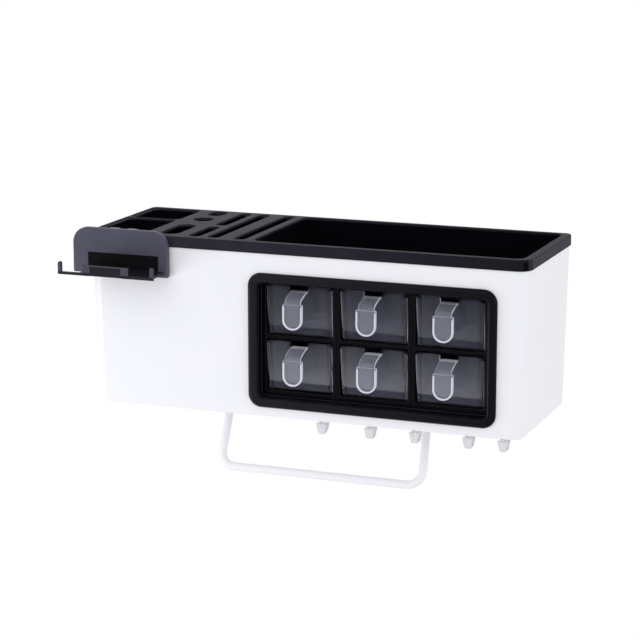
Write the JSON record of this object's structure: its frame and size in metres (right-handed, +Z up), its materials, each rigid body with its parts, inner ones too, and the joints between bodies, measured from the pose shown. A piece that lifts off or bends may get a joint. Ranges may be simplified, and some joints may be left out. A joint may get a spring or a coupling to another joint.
{
  "type": "kitchen storage caddy",
  "caption": "Wall-hung kitchen caddy: white shell, black top tray with bin, cups and knife slots, clear spice drawers, phone holder, towel rail and hooks.",
  "frame": {"origin": "on the wall, at the centre of the four wall-screw holes of the two wall plates, behind the middle of the caddy's width", "axes": "+X to the user's right along the wall, -Y out of the wall towards the user, +Z up"},
  "size_m": [0.4146, 0.1769, 0.2197],
  "materials": {
    "white_shell": "smooth glossy white plastic",
    "black_tray": "satin black plastic",
    "black_cabinet": "half-glossy black plastic",
    "screw_steel": "plain steel screws",
    "clear_drawer": "clear glossy plastic",
    "clear_spoon": "clear glossy plastic",
    "black_holder": "satin black plastic",
    "black_pad": "dull black grip foam",
    "white_rail": "smooth white plastic",
    "clear_white_hook": "milky see-through plastic",
    "white_plate": "smooth white plastic",
    "adhesive_foam": "grey adhesive foam"
  },
  "bodies": {
    "caddy": {"shell_body": "white_shell", "top_tray": "black_tray", "drawer_cabinet": "black_cabinet", "cabinet_back": "black_cabinet", "cabinet_screws": "screw_steel", "wall_plate_left": "white_plate", "wall_plate_right": "white_plate", "adhesive_pad_left": "adhesive_foam", "adhesive_pad_right": "adhesive_foam"},
    "drawer_and_spoon_1": {"drawer_1": "clear_drawer", "spoon_1": "clear_spoon"},
    "drawer_and_spoon_2": {"drawer_2": "clear_drawer", "spoon_2": "clear_spoon"},
    "drawer_and_spoon_3": {"drawer_3": "clear_drawer", "spoon_3": "clear_spoon"},
    "drawer_and_spoon_4": {"drawer_4": "clear_drawer", "spoon_4": "clear_spoon"},
    "drawer_and_spoon_5": {"drawer_5": "clear_drawer", "spoon_5": "clear_spoon"},
    "drawer_and_spoon_6": {"drawer_6": "clear_drawer", "spoon_6": "clear_spoon"},
    "holder": {"phone_holder": "black_holder", "phone_pad": "black_pad"},
    "rail": {"towel_rail": "white_rail"},
    "sliding_hook_1": {"hook_1": "clear_white_hook"},
    "sliding_hook_2": {"hook_2": "clear_white_hook"},
    "sliding_hook_3": {"hook_3": "clear_white_hook"},
    "sliding_hook_4": {"hook_4": "clear_white_hook"},
    "sliding_hook_5": {"hook_5": "clear_white_hook"}
  },
  "joints": [
    {"name": "drawer_1_slide", "type": "slide", "parent": "caddy", "child": "drawer_and_spoon_1", "axis": [0, -1, 0], "range_m": [0, 0.085]},
    {"name": "drawer_2_slide", "type": "slide", "parent": "caddy", "child": "drawer_and_spoon_2", "axis": [0, -1, 0], "range_m": [0, 0.085]},
    {"name": "drawer_3_slide", "type": "slide", "parent": "caddy", "child": "drawer_and_spoon_3", "axis": [0, -1, 0], "range_m": [0, 0.085]},
    {"name": "drawer_4_slide", "type": "slide", "parent": "caddy", "child": "drawer_and_spoon_4", "axis": [0, -1, 0], "range_m": [0, 0.085]},
    {"name": "drawer_5_slide", "type": "slide", "parent": "caddy", "child": "drawer_and_spoon_5", "axis": [0, -1, 0], "range_m": [0, 0.085]},
    {"name": "drawer_6_slide", "type": "slide", "parent": "caddy", "child": "drawer_and_spoon_6", "axis": [0, -1, 0], "range_m": [0, 0.085]},
    {"name": "holder_slide", "type": "slide", "parent": "caddy", "child": "holder", "axis": [1, 0, 0], "range_m": [-0.0095, 0]},
    {"name": "rail_hinge", "type": "hinge", "parent": "caddy", "child": "rail", "pos_m": [0.0049, -0.0867, -0.0944], "axis": [1, 0, 0], "range_deg": [0, 110]},
    {"name": "hook_1_slide", "type": "slide", "parent": "caddy", "child": "sliding_hook_1", "axis": [1, 0, 0], "range_m": [-0.007, 0.016]},
    {"name": "hook_2_slide", "type": "slide", "parent": "caddy", "child": "sliding_hook_2", "axis": [1, 0, 0], "range_m": [-0.016, 0.014]},
    {"name": "hook_3_slide", "type": "slide", "parent": "caddy", "child": "sliding_hook_3", "axis": [1, 0, 0], "range_m": [-0.014, 0.0175]},
    {"name": "hook_4_slide", "type": "slide", "parent": "caddy", "child": "sliding_hook_4", "axis": [1, 0, 0], "range_m": [-0.0175, 0.009]},
    {"name": "hook_5_slide", "type": "slide", "parent": "caddy", "child": "sliding_hook_5", "axis": [1, 0, 0], "range_m": [-0.009, 0.008]}
  ]
}
